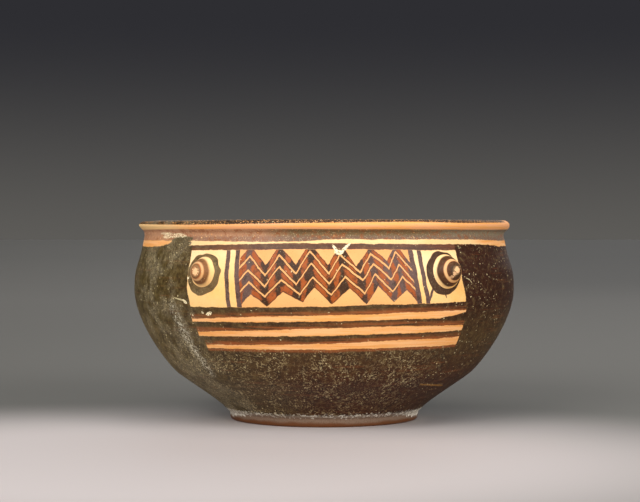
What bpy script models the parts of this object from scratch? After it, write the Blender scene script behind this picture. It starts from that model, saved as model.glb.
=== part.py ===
"""A mastos: an ancient handleless clay bowl with small breast-shaped knobs on its shoulder, in metres.

The bowl is one fired piece of clay: a turned body with a low ring foot and an everted lip, and four knobs
pressed on to its wall, two beside the front panel and two beside the back one. It stands on its foot ring.
The origin is at the middle of the underside, +Z is up and the front faces -Y.
"""

import math

import bpy
from mathutils import Vector

# Heights of the turned body, each measured on from the one before, from the ground up
FOOT_HEIGHT = 0.0043
HAUNCH_RISE = 0.0147
BELLY_RISE = 0.0322
NECK_RISE = 0.0211
LIP_UNDERCUT = 0.0019
LIP_FACE = 0.0020
LIP_ROUNDING = 0.0020

# Outer radii of the turned body
FOOT_RADIUS = 0.0371
FOOT_JOIN_RADIUS = 0.0388
HAUNCH_RADIUS = 0.0586
BELLY_RADIUS = 0.0750
NECK_RADIUS = 0.0710
LIP_RADIUS = 0.0733

# Clay thicknesses and the hollow under the foot
WALL = 0.0042
FLOOR = 0.0042
LIP_WIDTH = 0.0050
FOOT_RING_WIDTH = 0.0062
FOOT_EDGE = 0.0005
RECESS_DEPTH = 0.0024

# Knobs: a rounded cone with a nipple on its end
KNOB_RADIUS = 0.0060
KNOB_HEIGHT = 0.0038
NIPPLE_RADIUS = 0.0026
NIPPLE_HEIGHT = 0.0011
NIPPLE_SEAT = 0.0007
KNOB_RISE = 0.0080
KNOB_SPREAD = math.radians(36.0)
KNOB_TILT = math.radians(5.0)
FACES = {"front": math.radians(-90.0), "back": math.radians(90.0)}
KNOB_ROOT_SHARE = 0.5

# How the potter's curves run: the slope of the wall at each joint, and handles as shares of the chord
HAUNCH_SLOPE = math.radians(43.0)
FOOT_SLOPE = math.radians(46.0)
NECK_LEAN = math.radians(-80.0)
HAUNCH_TO_FOOT = (0.15, 0.23)
BELLY_TO_HAUNCH = (0.32, 0.19)
NECK_TO_BELLY = (0.63, 0.50)
FLOOR_TO_WALL = (0.50, 0.12)
FOOT_SIDE_SHARE = 0.75
SEAT_SLOPE = math.radians(-35.0)
KNOB_BASE_SLOPE = math.radians(100.0)
SEAT_TO_BASE = (0.35, 0.30)

# How finely the surfaces are turned
TURNS = 72
KNOB_TURNS = 24
OUTER_STEPS = {"neck": 7, "belly": 9, "haunch": 5}
INNER_STEPS = {"neck": 4, "belly": 6, "haunch": 4}
LIP_STEPS = 8
FLOOR_STEPS = 4
KNOB_STEPS = 4

CLAY_COLOUR = (0.075, 0.052, 0.030, 1.0)
CLAY_ROUGHNESS = 0.42


def clear_scene():
    """Removes every object, so that the part stands alone."""
    for old in list(bpy.data.objects):
        bpy.data.objects.remove(old, do_unlink=True)


def make_collection(name, hidden=False):
    """Makes a collection in the scene."""
    collection = bpy.data.collections.new(name)
    collection.hide_render = hidden
    bpy.context.scene.collection.children.link(collection)
    return collection


def make_material(name, colour, roughness):
    """Makes a plain material of one colour."""
    material = bpy.data.materials.new(name)
    material.use_nodes = True
    shader = material.node_tree.nodes["Principled BSDF"]
    shader.inputs["Base Color"].default_value = colour
    shader.inputs["Roughness"].default_value = roughness
    shader.inputs["Metallic"].default_value = 0.0
    return material


def heights():
    """Height above the ground of each named level of the body."""
    rises = {
        "foot": FOOT_HEIGHT,
        "haunch": HAUNCH_RISE,
        "belly": BELLY_RISE,
        "neck": NECK_RISE,
        "undercut": LIP_UNDERCUT,
        "face": LIP_FACE,
        "crest": LIP_ROUNDING,
    }
    levels = {}
    height = 0.0
    for name, rise in rises.items():
        height += rise
        levels[name] = height
    return levels


def direction(angle):
    """A unit vector in the profile's plane: x runs outwards and y runs up."""
    return Vector((math.cos(angle), math.sin(angle)))


def curve(start, start_way, end, end_way, shares, steps):
    """Points on a Bezier curve, with its handles as shares of the chord. It leaves out the start point."""
    chord = (end - start).length
    first = start + start_way * chord * shares[0]
    second = end + end_way * chord * shares[1]
    points = []
    for step in range(1, steps + 1):
        t = step / steps
        points.append(
            start * (1 - t) ** 3
            + first * 3 * t * (1 - t) ** 2
            + second * 3 * t * t * (1 - t)
            + end * t**3
        )
    return points


def wall_points(steps):
    """The outer wall from the neck down to where it meets the foot."""
    level = heights()
    neck = Vector((NECK_RADIUS, level["neck"]))
    belly = Vector((BELLY_RADIUS, level["belly"]))
    haunch = Vector((HAUNCH_RADIUS, level["haunch"]))
    join = Vector((FOOT_JOIN_RADIUS, level["foot"]))
    up = direction(math.radians(90.0))
    along_haunch = direction(HAUNCH_SLOPE)
    points = [neck]
    points += curve(neck, direction(NECK_LEAN), belly, up, NECK_TO_BELLY, steps["neck"])
    points += curve(belly, -up, haunch, along_haunch, BELLY_TO_HAUNCH, steps["belly"])
    points += curve(haunch, -along_haunch, join, direction(FOOT_SLOPE), HAUNCH_TO_FOOT, steps["haunch"])
    return points


def lip_points():
    """The lip from its inner edge over the crest to its outer edge, then down the face and the undercut."""
    level = heights()
    half = LIP_WIDTH / 2
    middle = Vector((LIP_RADIUS - half, level["face"]))
    points = []
    for step in range(LIP_STEPS + 1):
        angle = math.pi * (1 - step / LIP_STEPS)
        points.append(middle + Vector((half * math.cos(angle), LIP_ROUNDING * math.sin(angle))))
    under = Vector(((LIP_RADIUS + NECK_RADIUS) / 2, level["undercut"]))
    points.append(under)
    return points


def foot_points():
    """The foot from its side, round the resting ring and over the hollow to the axis."""
    ring_inside = FOOT_RADIUS - FOOT_EDGE - FOOT_RING_WIDTH
    return [
        Vector((FOOT_RADIUS + FOOT_EDGE, FOOT_HEIGHT * FOOT_SIDE_SHARE)),
        Vector((FOOT_RADIUS, FOOT_EDGE)),
        Vector((FOOT_RADIUS - FOOT_EDGE, 0.0)),
        Vector((ring_inside, 0.0)),
        Vector((ring_inside - RECESS_DEPTH, RECESS_DEPTH)),
        Vector((0.0, RECESS_DEPTH)),
    ]


def inner_points():
    """The inside from the middle of the floor up to the neck, a wall's thickness in from the outside."""
    outside = wall_points(INNER_STEPS)
    inside = []
    for index, point in enumerate(outside):
        before = outside[max(index - 1, 0)]
        after = outside[min(index + 1, len(outside) - 1)]
        along = (after - before).normalized()
        inside.append(point + Vector((along.y, -along.x)) * WALL)
    # Over the foot the floor's own curve takes the place of the lowest point.
    inside.pop()
    inside.reverse()
    middle = Vector((0.0, RECESS_DEPTH + FLOOR))
    outwards = direction(0.0)
    floor = curve(middle, outwards, inside[0], -direction(FOOT_SLOPE), FLOOR_TO_WALL, FLOOR_STEPS)
    return [middle] + floor + inside[1:]


def turned_object(name, points, turns, collection):
    """Turns a profile round +Z into a closed solid. It runs from the axis, over the top, to the axis."""
    mesh = bpy.data.meshes.new(name)
    vertices = [(point.x, 0.0, point.y) for point in points]
    edges = [(index, index + 1) for index in range(len(points) - 1)]
    mesh.from_pydata(vertices, edges, [])
    turned = bpy.data.objects.new(name, mesh)
    collection.objects.link(turned)
    screw = turned.modifiers.new("turn", "SCREW")
    screw.axis = "Z"
    screw.steps = turns
    screw.render_steps = turns
    screw.use_merge_vertices = True
    screw.merge_threshold = 0.00001
    screw.use_smooth_shade = True
    return turned


def wall_radius(height):
    """The outer radius of the wall at a height."""
    points = wall_points(OUTER_STEPS)
    for above, below in zip(points, points[1:]):
        if below.y <= height <= above.y:
            share = (height - below.y) / (above.y - below.y)
            return below.x + (above.x - below.x) * share
    return BELLY_RADIUS


def knob_points():
    """A knob's profile about its own axis, from the end of the nipple down to its root inside the wall."""
    root = -WALL * KNOB_ROOT_SHARE
    points = []
    for step in range(KNOB_STEPS + 1):
        angle = math.pi / 2 * (1 - step / KNOB_STEPS)
        points.append(
            Vector((NIPPLE_RADIUS * math.cos(angle), KNOB_HEIGHT + NIPPLE_HEIGHT * math.sin(angle)))
        )
    seat = Vector((NIPPLE_RADIUS + NIPPLE_SEAT, KNOB_HEIGHT))
    base = Vector((KNOB_RADIUS, 0.0))
    points.append(seat)
    points += curve(seat, direction(SEAT_SLOPE), base, direction(KNOB_BASE_SLOPE), SEAT_TO_BASE, KNOB_STEPS)
    points += [Vector((KNOB_RADIUS, root)), Vector((0.0, root))]
    return points


def press_on_knobs(bowl, cutters):
    """Joins the knobs to the wall, in pairs beside the front and the back panel."""
    height = heights()["belly"] + KNOB_RISE
    radius = wall_radius(height)
    for face, middle in FACES.items():
        for side in (-1, 1):
            azimuth = middle + side * KNOB_SPREAD
            knob = turned_object(f"knob_{face}_{side}", knob_points(), KNOB_TURNS, cutters)
            knob.location = (radius * math.cos(azimuth), radius * math.sin(azimuth), height)
            knob.rotation_euler = (0.0, math.pi / 2 - KNOB_TILT, azimuth)
            knob.hide_render = True
            knob.display_type = "WIRE"
            union = bowl.modifiers.new(f"knob_{face}_{side}", "BOOLEAN")
            union.operation = "UNION"
            union.solver = "EXACT"
            union.object = knob


def build_mastos():
    """Builds the bowl with its knobs."""
    clear_scene()
    collection = make_collection("mastos")
    cutters = make_collection("cutters", hidden=True)
    profile = inner_points() + lip_points() + wall_points(OUTER_STEPS) + foot_points()
    bowl = turned_object("bowl", profile, TURNS, collection)
    bowl.data.materials.append(make_material("dark_slip", CLAY_COLOUR, CLAY_ROUGHNESS))
    press_on_knobs(bowl, cutters)


build_mastos()
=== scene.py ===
"""The looks of a mastos: an ancient clay bowl with four small knobs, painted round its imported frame.

The frame gives one node, the bowl. One finely turned piece stands for it, with the same sizes. Geometry
Nodes turn its profile and raise its knobs, and one material paints it: bare clay in a panel, bands and
lines, dark slip brushed over the rest, then wear, flecks and a pale crust. Lengths are metres in meshes
and millimetres in the finish, +Z is up and the front faces -Y.
"""

from __future__ import annotations

import logging
import math
from collections.abc import Sequence
from dataclasses import dataclass
from enum import Enum

import bpy
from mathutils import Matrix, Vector

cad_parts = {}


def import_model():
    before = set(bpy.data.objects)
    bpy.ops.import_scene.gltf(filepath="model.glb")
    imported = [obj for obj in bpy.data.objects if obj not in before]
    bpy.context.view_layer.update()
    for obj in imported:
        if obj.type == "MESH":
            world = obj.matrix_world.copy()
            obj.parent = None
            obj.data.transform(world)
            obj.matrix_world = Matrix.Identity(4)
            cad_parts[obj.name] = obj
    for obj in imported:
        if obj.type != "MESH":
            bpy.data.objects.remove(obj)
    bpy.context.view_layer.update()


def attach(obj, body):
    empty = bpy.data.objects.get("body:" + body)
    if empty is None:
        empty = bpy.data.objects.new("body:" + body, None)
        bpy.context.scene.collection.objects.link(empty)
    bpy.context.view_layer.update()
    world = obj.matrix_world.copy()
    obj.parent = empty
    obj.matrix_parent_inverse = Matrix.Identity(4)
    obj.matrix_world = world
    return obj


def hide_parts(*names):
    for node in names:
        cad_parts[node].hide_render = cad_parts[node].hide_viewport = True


BODY = "root"
NODE = "bowl"
MM = 1000.0

LOG = logging.getLogger("mastos")

Pixel = tuple[float, float]
Colour = tuple[float, float, float, float]


class Surface(Enum):
    """The faces of the clay that take different finishes, as the number that the mesh carries."""

    INSIDE = 0.0
    OUTSIDE = 1.0
    UNDERSIDE = 2.0


def tone(red: int, green: int, blue: int) -> Colour:
    """A shader colour from the way that a tone looks in a picture.

    Args:
        red: Red as shown, from 0 to 255.
        green: Green as shown.
        blue: Blue as shown.

    Returns:
        The linear colour with full alpha.
    """
    shown = [channel / 255 for channel in (red, green, blue)]
    linear = [part / 12.92 if part <= 0.04045 else ((part + 0.055) / 1.055) ** 2.4 for part in shown]
    return (linear[0], linear[1], linear[2], 1.0)


def added(name: str, data: bpy.types.ID) -> bpy.types.Object:
    """A new object with its data, in the scene.

    Args:
        name: What the object is called.
        data: Its mesh, light or camera.

    Returns:
        The object.
    """
    thing = bpy.data.objects.new(name, data)
    bpy.context.scene.collection.objects.link(thing)
    return thing


def direction(angle: float) -> Vector:
    """A unit vector in the profile's plane at an angle in degrees: x runs outwards and y runs up."""
    return Vector((math.cos(math.radians(angle)), math.sin(math.radians(angle))))


def curve(
    start: Vector, start_way: Vector, end: Vector, end_way: Vector, shares: tuple[float, float], steps: int
) -> list[Vector]:
    """Points on a Bezier curve.

    Args:
        start: Where it starts.
        start_way: The way that it leaves its start.
        end: Where it ends.
        end_way: The way back along it from its end.
        shares: The lengths of the two handles, as shares of the chord.
        steps: How many points to give.

    Returns:
        The points after the start, up to the end.
    """
    chord = (end - start).length
    first = start + start_way * chord * shares[0]
    second = end + end_way * chord * shares[1]
    points = []
    for step in range(1, steps + 1):
        t = step / steps
        points.append(
            start * (1 - t) ** 3
            + first * 3 * t * (1 - t) ** 2
            + second * 3 * t * t * (1 - t)
            + end * t**3
        )
    return points


def straight(start: Vector, end: Vector, spacing: float) -> list[Vector]:
    """Evenly spaced points on a straight line, leaving out its start."""
    steps = max(1, math.ceil((end - start).length / spacing))
    return [start.lerp(end, step / steps) for step in range(1, steps + 1)]


@dataclass(frozen=True)
class TurnedForm:
    """The turned body, with the sizes of its solid, in metres and degrees."""

    foot_top: float = 0.0043
    haunch_level: float = 0.0190
    belly_level: float = 0.0512
    neck_level: float = 0.0723
    undercut_level: float = 0.0742
    face_level: float = 0.0762
    height: float = 0.0782
    foot_radius: float = 0.0371
    foot_join_radius: float = 0.0388
    haunch_radius: float = 0.0586
    belly_radius: float = 0.0750
    neck_radius: float = 0.0710
    lip_radius: float = 0.0733
    wall: float = 0.0042
    floor: float = 0.0042
    lip_width: float = 0.0050
    foot_ring_width: float = 0.0062
    foot_edge: float = 0.0005
    foot_side_share: float = 0.75
    recess_depth: float = 0.0024
    haunch_slope: float = 43.0
    foot_slope: float = 46.0
    neck_lean: float = -80.0
    lip_under_slope: float = 50.0
    undercut_slope: float = 205.0
    haunch_to_foot: tuple[float, float] = (0.15, 0.23)
    belly_to_haunch: tuple[float, float] = (0.32, 0.19)
    neck_to_belly: tuple[float, float] = (0.63, 0.50)
    floor_to_wall: tuple[float, float] = (0.50, 0.12)
    soft_turn: tuple[float, float] = (0.35, 0.35)
    outer_steps: tuple[int, int, int] = (62, 42, 28)
    inner_steps: tuple[int, int, int] = (12, 16, 12)
    inner_rows_under_floor: int = 3
    lip_steps: int = 20
    lip_face_steps: int = 6
    undercut_steps: int = 5
    floor_steps: int = 12
    foot_spacing: float = 0.0005
    underside_spacing: float = 0.0040

    def wall_points(self, steps: tuple[int, int, int]) -> list[Vector]:
        """The outer wall from the neck down to the foot.

        Args:
            steps: How many points there are on the neck, the belly and the haunch.

        Returns:
            Points of radius and height.
        """
        neck = Vector((self.neck_radius, self.neck_level))
        belly = Vector((self.belly_radius, self.belly_level))
        haunch = Vector((self.haunch_radius, self.haunch_level))
        join = Vector((self.foot_join_radius, self.foot_top))
        up = direction(90.0)
        along = direction(self.haunch_slope)
        points = [neck]
        points += curve(neck, direction(self.neck_lean), belly, up, self.neck_to_belly, steps[0])
        points += curve(belly, -up, haunch, along, self.belly_to_haunch, steps[1])
        points += curve(haunch, -along, join, direction(self.foot_slope), self.haunch_to_foot, steps[2])
        return points

    def inside_points(self) -> list[Vector]:
        """The inside from the middle of the floor up to the neck, a wall's thickness in from the outside.

        Returns:
            Points of radius and height.
        """
        outside = self.wall_points(self.inner_steps)
        inside = []
        for index, point in enumerate(outside):
            before = outside[max(index - 1, 0)]
            after = outside[min(index + 1, len(outside) - 1)]
            along = (after - before).normalized()
            inside.append(point + Vector((along.y, -along.x)) * self.wall)
        inside = inside[: -self.inner_rows_under_floor]
        inside.reverse()
        middle = Vector((0.0, self.recess_depth + self.floor))
        rise = -direction(self.foot_slope)
        floor = curve(middle, direction(0.0), inside[0], rise, self.floor_to_wall, self.floor_steps)
        return [middle] + floor + inside[1:]

    def lip_points(self, neck_inside: Vector) -> list[Vector]:
        """The lip from inside the neck, over the crest and down to the undercut.

        Args:
            neck_inside: The last point of the inside, at the neck.

        Returns:
            Points of radius and height, without the neck's own.
        """
        half = self.lip_width / 2
        middle = Vector((self.lip_radius - half, self.face_level))
        rounding = self.height - self.face_level
        up = direction(90.0)
        inner = middle - Vector((half, 0.0))
        points = curve(neck_inside, up, inner, -up, self.soft_turn, self.undercut_steps)
        for step in range(1, self.lip_steps + 1):
            angle = math.pi * (1 - step / self.lip_steps)
            points.append(middle + Vector((half * math.cos(angle), rounding * math.sin(angle))))
        under = Vector(((self.lip_radius + self.neck_radius) / 2, self.undercut_level))
        points += curve(
            points[-1], -up, under, direction(self.lip_under_slope), self.soft_turn, self.lip_face_steps
        )
        neck = Vector((self.neck_radius, self.neck_level))
        to_neck = curve(
            under, direction(self.undercut_slope), neck, -direction(self.neck_lean), self.soft_turn,
            self.undercut_steps,
        )
        return points + to_neck[:-1]

    def foot_points(self) -> list[Vector]:
        """The foot's side down to its resting ring.

        Returns:
            Points of radius and height.
        """
        join = Vector((self.foot_join_radius, self.foot_top))
        corners = [
            Vector((self.foot_radius + self.foot_edge, self.foot_top * self.foot_side_share)),
            Vector((self.foot_radius, self.foot_edge)),
            Vector((self.foot_radius - self.foot_edge, 0.0)),
        ]
        points = []
        for start, end in zip([join] + corners, corners):
            points += straight(start, end, self.foot_spacing)
        return points

    def underside_points(self) -> list[Vector]:
        """The resting ring and the hollow under the foot, in to the axis.

        Returns:
            Points of radius and height.
        """
        ring_inside = self.foot_radius - self.foot_edge - self.foot_ring_width
        outer = Vector((self.foot_radius - self.foot_edge, 0.0))
        corners = [
            Vector((ring_inside, 0.0)),
            Vector((ring_inside - self.recess_depth, self.recess_depth)),
            Vector((0.0, self.recess_depth)),
        ]
        points = []
        for start, end in zip([outer] + corners, corners):
            points += straight(start, end, self.underside_spacing)
        return points

    def profile(self) -> list[tuple[Vector, Surface]]:
        """The whole profile from the middle of the floor, over the lip, to the middle of the underside.

        Returns:
            Each point with the surface that it is on.
        """
        inside = self.inside_points()
        outside = self.lip_points(inside[-1]) + self.wall_points(self.outer_steps) + self.foot_points()
        rows = [(point, Surface.INSIDE) for point in inside]
        rows += [(point, Surface.OUTSIDE) for point in outside]
        rows += [(point, Surface.UNDERSIDE) for point in self.underside_points()]
        return rows

    def radius_at(self, height: float) -> float:
        """The outer radius of the wall or the lip at a height, in metres.

        Args:
            height: The height above the ground, in metres.

        Returns:
            The radius in metres.
        """
        points = self.wall_points(self.outer_steps)
        if height >= points[0].y:
            return self.neck_radius if height < self.undercut_level else self.lip_radius
        for above, below in zip(points, points[1:]):
            if below.y <= height <= above.y:
                share = (height - below.y) / (above.y - below.y)
                return below.x + (above.x - below.x) * share
        return self.foot_radius


@dataclass(frozen=True)
class Knob:
    """One breast-shaped knob on the front, in metres and degrees. The back has the same pair."""

    azimuth: float
    base_radius: float
    reach: float
    rise: float = 0.0080
    tilt: float = 5.0

    def height(self, form: TurnedForm) -> float:
        """The height of the knob's middle above the ground."""
        return form.belly_level + self.rise

    def centre(self, form: TurnedForm, azimuth: float) -> Vector:
        """The middle of the knob's base on the wall, at an azimuth in degrees from the front.

        Args:
            form: The turned body.
            azimuth: Degrees from the front, positive to the right.

        Returns:
            The place in metres.
        """
        angle = math.radians(azimuth)
        height = self.height(form)
        radius = form.radius_at(height)
        return Vector((radius * math.sin(angle), -radius * math.cos(angle), height))

    def axis(self, azimuth: float) -> Vector:
        """The way that the knob points, out from the wall and slightly up.

        Args:
            azimuth: Degrees from the front, positive to the right.

        Returns:
            A unit vector.
        """
        angle = math.radians(azimuth)
        tilt = math.radians(self.tilt)
        level = math.cos(tilt)
        return Vector((math.sin(angle) * level, -math.cos(angle) * level, math.sin(tilt)))

    def across(self) -> Vector:
        """A unit vector to the right over the knob's base, seen from in front of it."""
        angle = math.radians(self.azimuth)
        return Vector((math.cos(angle), math.sin(angle), 0.0))

    def upward(self) -> Vector:
        """A unit vector up over the knob's base."""
        return self.axis(self.azimuth).cross(self.across())


@dataclass(frozen=True)
class PhotoCamera:
    """The photograph's camera, worked out from the bowl's outline, in metres and degrees."""

    aside: float = -0.0016
    distance: float = 0.690
    height: float = 0.073
    pitch: float = 0.574
    focal_pixels: float = 1737.6
    frame: tuple[int, int] = (640, 502)
    sensor: float = 36.0
    near: float = 0.05
    far: float = 60.0
    search_steps: int = 12

    def build(self) -> bpy.types.Object:
        """Makes the camera and sets it as the scene's own.

        Returns:
            The camera.
        """
        data = bpy.data.cameras.new("photo_camera")
        data.sensor_width = self.sensor
        data.lens = self.focal_pixels * self.sensor / self.frame[0]
        data.clip_start = self.near
        data.clip_end = self.far
        camera = added("photo_camera", data)
        camera.location = (self.aside, -self.distance, self.height)
        camera.rotation_euler = (math.radians(90.0 - self.pitch), 0.0, 0.0)
        bpy.context.scene.camera = camera
        return camera

    def to_wall(self, pixel: Pixel, form: TurnedForm) -> tuple[float, float]:
        """Where on the bowl's wall a pixel of the photograph lies.

        Args:
            pixel: Its column and row in the photograph's frame.
            form: The turned body.

        Returns:
            The azimuth in degrees from the front, positive to the right, and the height in millimetres.
        """
        pitch = math.radians(self.pitch)
        right = (pixel[0] - self.frame[0] / 2) / self.focal_pixels
        up = (self.frame[1] / 2 - pixel[1]) / self.focal_pixels
        ray = Vector((right, math.cos(pitch) + up * math.sin(pitch), up * math.cos(pitch) - math.sin(pitch)))
        eye = Vector((self.aside, -self.distance, self.height))
        level = ray.xy.length_squared
        towards = eye.xy.dot(ray.xy)
        radius = form.belly_radius
        point = eye
        for _ in range(self.search_steps):
            inside_root = max(towards**2 - level * (eye.xy.length_squared - radius**2), 0.0)
            point = eye + ray * ((-towards - math.sqrt(inside_root)) / level)
            radius = form.radius_at(point.z)
        return math.degrees(math.atan2(point.x, -point.y)), point.z * MM


@dataclass(frozen=True)
class Signal:
    """A number or vector that flows through a node tree. Its arithmetic adds the nodes that do it."""

    sheet: NodeSheet
    socket: bpy.types.NodeSocket

    def __add__(self, other: Value) -> Signal:
        """The sum."""
        return self.sheet.math("ADD", self, other)

    def __sub__(self, other: Value) -> Signal:
        """The difference."""
        return self.sheet.math("SUBTRACT", self, other)

    def __rsub__(self, other: float) -> Signal:
        """A number less this."""
        return self.sheet.math("SUBTRACT", other, self)

    def __mul__(self, other: Value) -> Signal:
        """The product."""
        return self.sheet.math("MULTIPLY", self, other)

    def __truediv__(self, other: Value) -> Signal:
        """The quotient."""
        return self.sheet.math("DIVIDE", self, other)

    def size(self) -> Signal:
        """The number without its sign."""
        return self.sheet.math("ABSOLUTE", self)

    def most(self, other: Value) -> Signal:
        """The larger of the two."""
        return self.sheet.math("MAXIMUM", self, other)

    def least(self, other: Value) -> Signal:
        """The smaller of the two."""
        return self.sheet.math("MINIMUM", self, other)

    def opposite(self) -> Signal:
        """What is left of one."""
        return self.sheet.math("SUBTRACT", 1.0, self)

    def rise(self, low: float, high: float) -> Signal:
        """A smooth step from 0 at low to 1 at high. With low over high it falls."""
        return self.sheet.ramp(self, low, high, "SMOOTHSTEP")

    def between(self, low: float, high: float, soft: float) -> Signal:
        """1 from low to high and 0 outside, with soft ends."""
        return self.rise(low - soft, low + soft) * self.rise(high + soft, high - soft)


Value = Signal | float


class NodeSheet:
    """A geometry or shader tree that is written like a calculation."""

    def __init__(self, tree: bpy.types.NodeTree) -> None:
        """Starts on a tree."""
        self.tree = tree

    def node(self, kind: str, **settings: object) -> bpy.types.Node:
        """Adds a node and sets its properties.

        Args:
            kind: Blender's name for the kind of node.
            settings: Its properties, by their names.

        Returns:
            The node.
        """
        node = self.tree.nodes.new(kind)
        for name, value in settings.items():
            setattr(node, name, value)
        return node

    def feed(self, socket: bpy.types.NodeSocket, value: object) -> None:
        """Links a signal to a socket, or sets the socket to a value.

        Args:
            socket: An input of a node.
            value: A signal, or a plain value for the socket.
        """
        if isinstance(value, Signal):
            self.tree.links.new(value.socket, socket)
        else:
            socket.default_value = value

    def apply(self, node: bpy.types.Node | str, output: int | str = 0, **inputs: object) -> Signal:
        """Feeds a node by the names of its inputs, with _ for a space.

        Args:
            node: The node, or the kind of a new one.
            output: The output to give.
            inputs: What goes into each input.

        Returns:
            The output as a signal.
        """
        if isinstance(node, str):
            node = self.node(node)
        for name, value in inputs.items():
            self.feed(node.inputs[name.replace("_", " ")], value)
        return Signal(self, node.outputs[output])

    def in_order(self, node: bpy.types.Node, values: Sequence[object], output: int | str = 0) -> Signal:
        """Feeds a node's inputs in their order, and gives one of its outputs.

        Args:
            node: The node.
            values: What goes into its inputs, from the first.
            output: Which output.

        Returns:
            The output as a signal.
        """
        for socket, value in zip(node.inputs, values):
            self.feed(socket, value)
        return Signal(self, node.outputs[output])

    def math(self, operation: str, *values: Value) -> Signal:
        """One step of arithmetic on numbers."""
        return self.in_order(self.node("ShaderNodeMath", operation=operation), values)

    def vector(self, operation: str, *values: object, output: str = "Vector") -> Signal:
        """One step of arithmetic on vectors."""
        return self.in_order(self.node("ShaderNodeVectorMath", operation=operation), values, output)

    def dot(self, first: Signal, second: object) -> Signal:
        """The dot product of two vectors."""
        return self.vector("DOT_PRODUCT", first, second, output="Value")

    def length(self, vector: Signal) -> Signal:
        """The length of a vector."""
        return self.vector("LENGTH", vector, output="Value")

    def span(self, x: Value, y: Value) -> Signal:
        """The length of a level vector, from its two numbers."""
        return self.length(self.joined(x, y, 0.0))

    def scaled(self, vector: Signal, amount: Value) -> Signal:
        """A vector times a number."""
        node = self.node("ShaderNodeVectorMath", operation="SCALE")
        return self.apply(node, "Vector", Vector=vector, Scale=amount)

    def split(self, vector: Signal) -> list[Signal]:
        """A vector's three numbers.

        Args:
            vector: The vector.

        Returns:
            Its x, y and z.
        """
        node = self.node("ShaderNodeSeparateXYZ")
        self.feed(node.inputs[0], vector)
        return [Signal(self, socket) for socket in node.outputs]

    def joined(self, x: Value, y: Value, z: Value) -> Signal:
        """A vector from three numbers."""
        return self.apply("ShaderNodeCombineXYZ", X=x, Y=y, Z=z)

    def ramp(self, value: Signal, low: float, high: float, style: str = "LINEAR") -> Signal:
        """A value mapped from a range to the range from 0 to 1, and held at its ends."""
        node = self.node("ShaderNodeMapRange", interpolation_type=style, clamp=True)
        return self.apply(node, Value=value, From_Min=low, From_Max=high)

    def noise(self, place: Signal, scale: float, detail: float = 2.0, roughness: float = 0.5) -> Signal:
        """Smooth noise, from 0 to 1 and about 0.5 on average."""
        node = self.node("ShaderNodeTexNoise", noise_dimensions="3D")
        return self.apply(node, Vector=place, Scale=scale, Detail=detail, Roughness=roughness)

    def drawn(self, points: Sequence[tuple[float, float]], value: Signal) -> Signal:
        """A line through given points, as a function of a value. It is held past its ends.

        Args:
            points: Pairs of the value and the result, in rising order.
            value: The signal to look up.

        Returns:
            The result as a signal.
        """
        node = self.node("ShaderNodeFloatCurve")
        across = [point[0] for point in points]
        up = [point[1] for point in points]
        left, right = across[0], across[-1]
        low, high = min(up), max(up)
        span = max(high - low, 1e-6)
        line = node.mapping.curves[0]
        while len(line.points) < len(points):
            line.points.new(0.5, 0.5)
        for handle, (x, y) in zip(line.points, points):
            handle.location = ((x - left) / (right - left), (y - low) / span)
            handle.handle_type = "VECTOR"
        node.mapping.update()
        looked_up = self.apply(node, Value=self.ramp(value, left, right))
        return looked_up * span + low

    def mix(self, below: object, above: object, amount: Value, numbers: bool = False) -> Signal:
        """One colour laid over another by an amount, or one number turned into another.

        Args:
            below: What is there at amount 0.
            above: What is there at amount 1.
            amount: From 0 to 1.
            numbers: Whether these are numbers and not colours.

        Returns:
            The mixed colour or number.
        """
        kind, first, output = ("FLOAT", 2, 0) if numbers else ("RGBA", 6, 2)
        node = self.node("ShaderNodeMix", data_type=kind)
        for socket, value in ((0, amount), (first, below), (first + 1, above)):
            self.feed(node.inputs[socket], value)
        return Signal(self, node.outputs[output])

    def coats(self, colour: object, *coats: tuple[object, Value]) -> Signal:
        """A colour with others laid over it in turn, each by an amount.

        Args:
            colour: The colour below them all.
            coats: Each coat's colour with its amount.

        Returns:
            The colour that shows.
        """
        for above, amount in coats:
            colour = self.mix(colour, above, amount)
        return colour

    def blend(self, below: Value, above: Value, amount: Value) -> Signal:
        """One number turned into another by an amount."""
        return self.mix(below, above, amount, numbers=True)


class MeshSheet(NodeSheet):
    """A geometry tree with inputs of its own."""

    def __init__(self, tree: bpy.types.NodeTree) -> None:
        """Starts on a tree and reads its inputs."""
        super().__init__(tree)
        self.inputs = self.node("NodeGroupInput")

    def given(self, name: str) -> Signal:
        """One of the tree's inputs."""
        return Signal(self, self.inputs.outputs[name])

    def position(self) -> Signal:
        """Where each point is."""
        return self.apply("GeometryNodeInputPosition")

    def points_of(self, name: str) -> Signal:
        """The points of a helper object among the tree's inputs."""
        return self.apply("GeometryNodeObjectInfo", "Geometry", Object=self.given(name))

    def named(self, name: str, kind: str = "FLOAT") -> Signal:
        """A named attribute of the mesh."""
        return self.apply(self.node("GeometryNodeInputNamedAttribute", data_type=kind), Name=name)

    def sampled(self, points: Signal, value: Signal, index: Signal, kind: str = "FLOAT") -> Signal:
        """A value read from one point of another mesh."""
        node = self.node("GeometryNodeSampleIndex", data_type=kind, domain="POINT")
        return self.apply(node, Geometry=points, Value=value, Index=index)

    def stored(self, mesh: Signal, name: str, value: Signal) -> Signal:
        """The mesh with a number kept on each point under a name."""
        node = self.node("GeometryNodeStoreNamedAttribute", data_type="FLOAT", domain="POINT")
        return self.apply(node, Geometry=mesh, Name=name, Value=value)

    def moved(self, mesh: Signal, **where: Signal) -> Signal:
        """The mesh with its points moved to a Position, or by an Offset."""
        return self.apply("GeometryNodeSetPosition", Geometry=mesh, **where)

    def outside(self) -> Signal:
        """1 on the outer face of the clay and 0 on the rest."""
        middle = Surface.OUTSIDE.value
        return self.named("surface").between(middle - 0.2, middle + 0.2, 0.1)


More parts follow.
